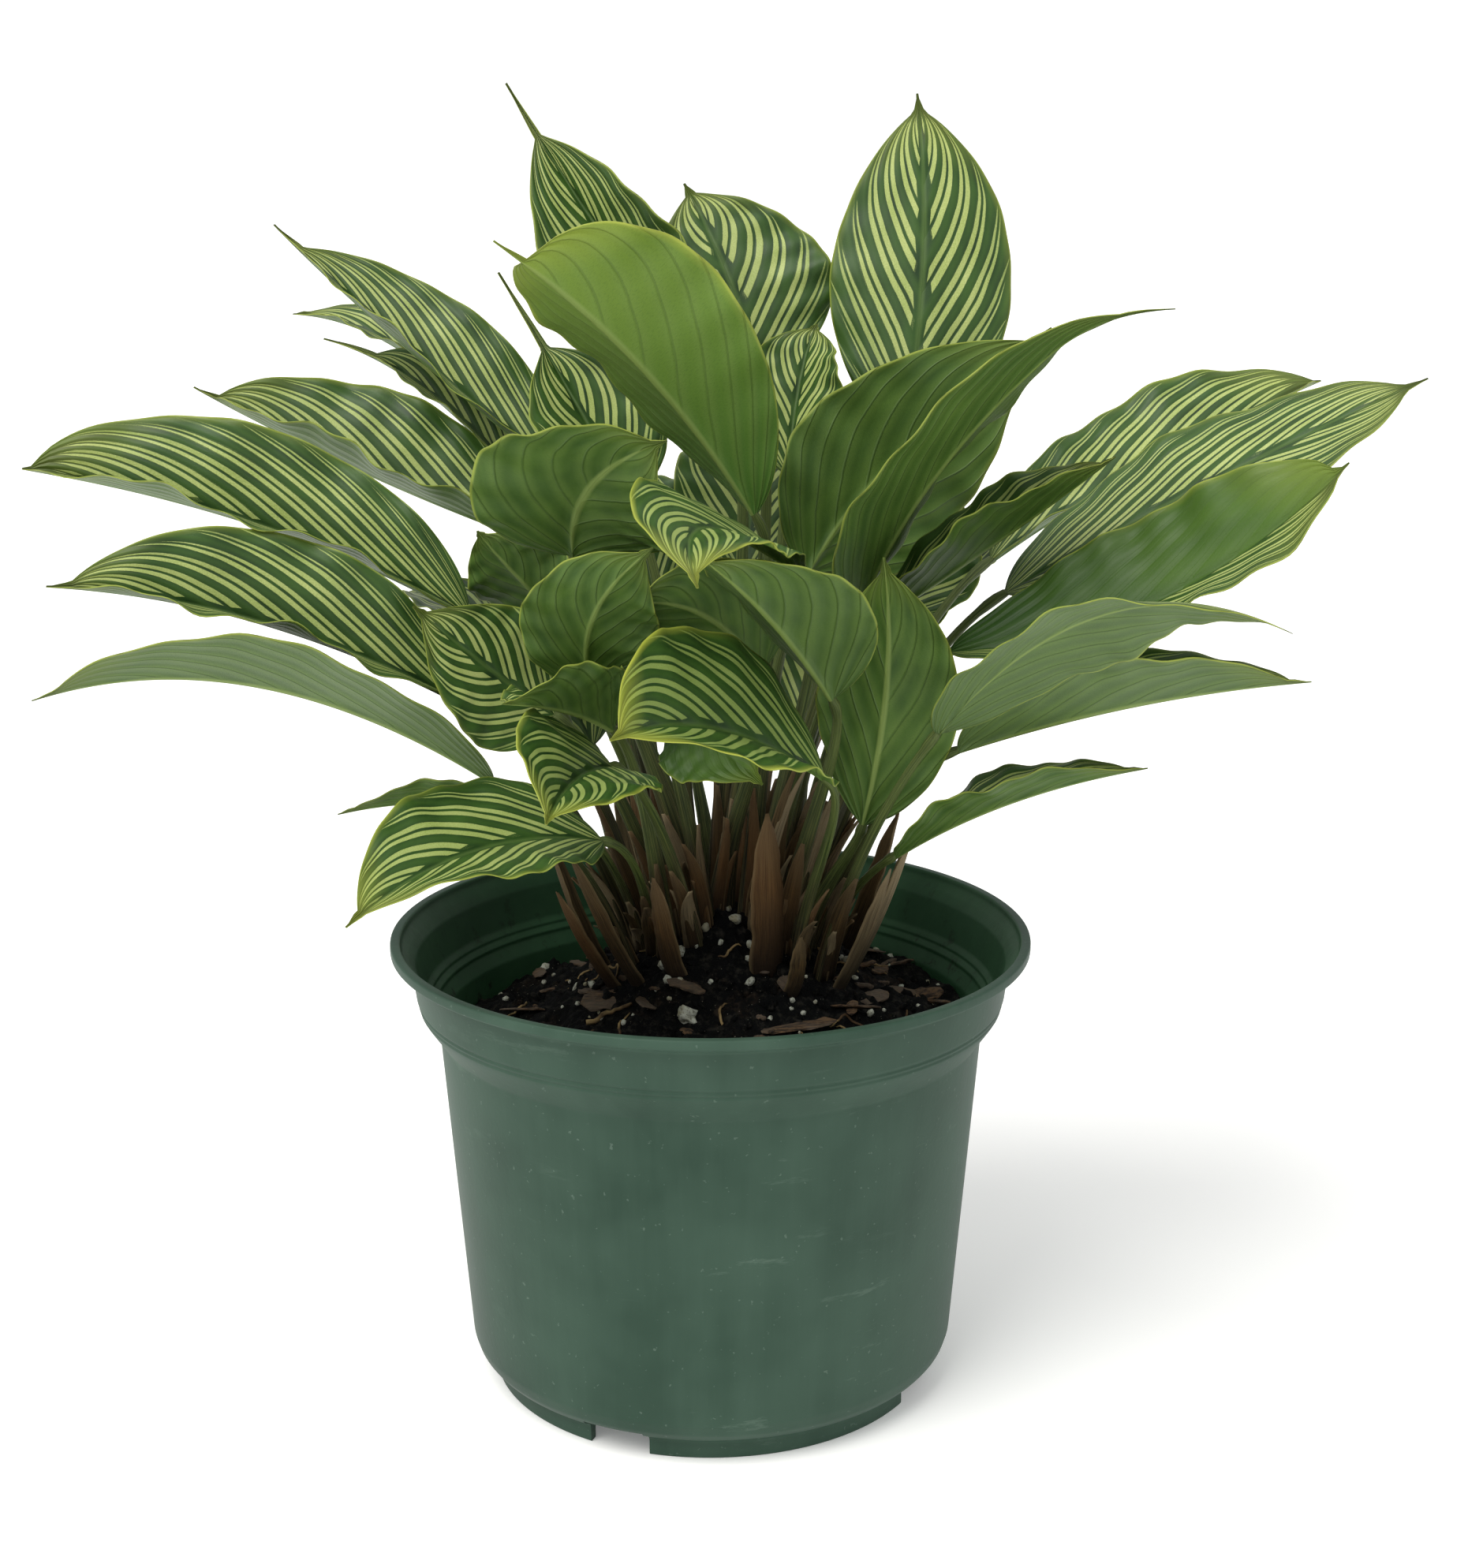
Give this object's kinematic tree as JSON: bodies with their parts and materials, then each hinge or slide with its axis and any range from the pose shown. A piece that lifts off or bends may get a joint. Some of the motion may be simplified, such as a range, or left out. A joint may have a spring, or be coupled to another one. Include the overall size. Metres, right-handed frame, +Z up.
{
  "type": "potted foliage plant",
  "caption": "Striped, lance-leaved foliage plant in a round tapering nursery pot filled with potting mix; arching waved leaves on thin stems above dry sheaths.",
  "frame": {"origin": "centre of the ground plane under the pot, on the pot's axis, which is also the middle of the bounding box's bottom", "axes": "+Z up along the pot's axis, +X to the picture's right, +Y away from the picture's camera"},
  "size_m": [0.5353, 0.3021, 0.5114],
  "materials": {
    "pot": "satin",
    "soil": "matte",
    "leaf": "satin",
    "sheath": "matte"
  },
  "bodies": {
    "root": {"leaf_back_1": "leaf", "leaf_back_2": "leaf", "leaf_back_3": "leaf", "leaf_back_4": "leaf", "leaf_back_5": "leaf", "leaf_back_6": "leaf", "leaf_back_7": "leaf", "leaf_back_8": "leaf", "leaf_front_1": "leaf", "leaf_front_10": "leaf", "leaf_front_11": "leaf", "leaf_front_12": "leaf", "leaf_front_13": "leaf", "leaf_front_2": "leaf", "leaf_front_3": "leaf", "leaf_front_4": "leaf", "leaf_front_5": "leaf", "leaf_front_6": "leaf", "leaf_front_7": "leaf", "leaf_front_8": "leaf", "leaf_front_9": "leaf", "leaf_left_1": "leaf", "leaf_left_2": "leaf", "leaf_left_3": "leaf", "leaf_left_4": "leaf", "leaf_left_5": "leaf", "leaf_left_6": "leaf", "leaf_left_7": "leaf", "leaf_left_8": "leaf", "leaf_left_9": "leaf", "leaf_right_1": "leaf", "leaf_right_10": "leaf", "leaf_right_2": "leaf", "leaf_right_3": "leaf", "leaf_right_4": "leaf", "leaf_right_5": "leaf", "leaf_right_6": "leaf", "leaf_right_7": "leaf", "leaf_right_8": "leaf", "leaf_right_9": "leaf", "leaf_top_1": "leaf", "leaf_top_2": "leaf", "leaf_top_3": "leaf", "leaf_top_4": "leaf", "leaf_top_5": "leaf", "leaf_top_6": "leaf", "pot": "pot", "sheath_01": "sheath", "sheath_02": "sheath", "sheath_03": "sheath", "sheath_04": "sheath", "sheath_05": "sheath", "sheath_06": "sheath", "sheath_07": "sheath", "sheath_08": "sheath", "sheath_09": "sheath", "sheath_10": "sheath", "sheath_11": "sheath", "soil": "soil"}
  },
  "joints": []
}
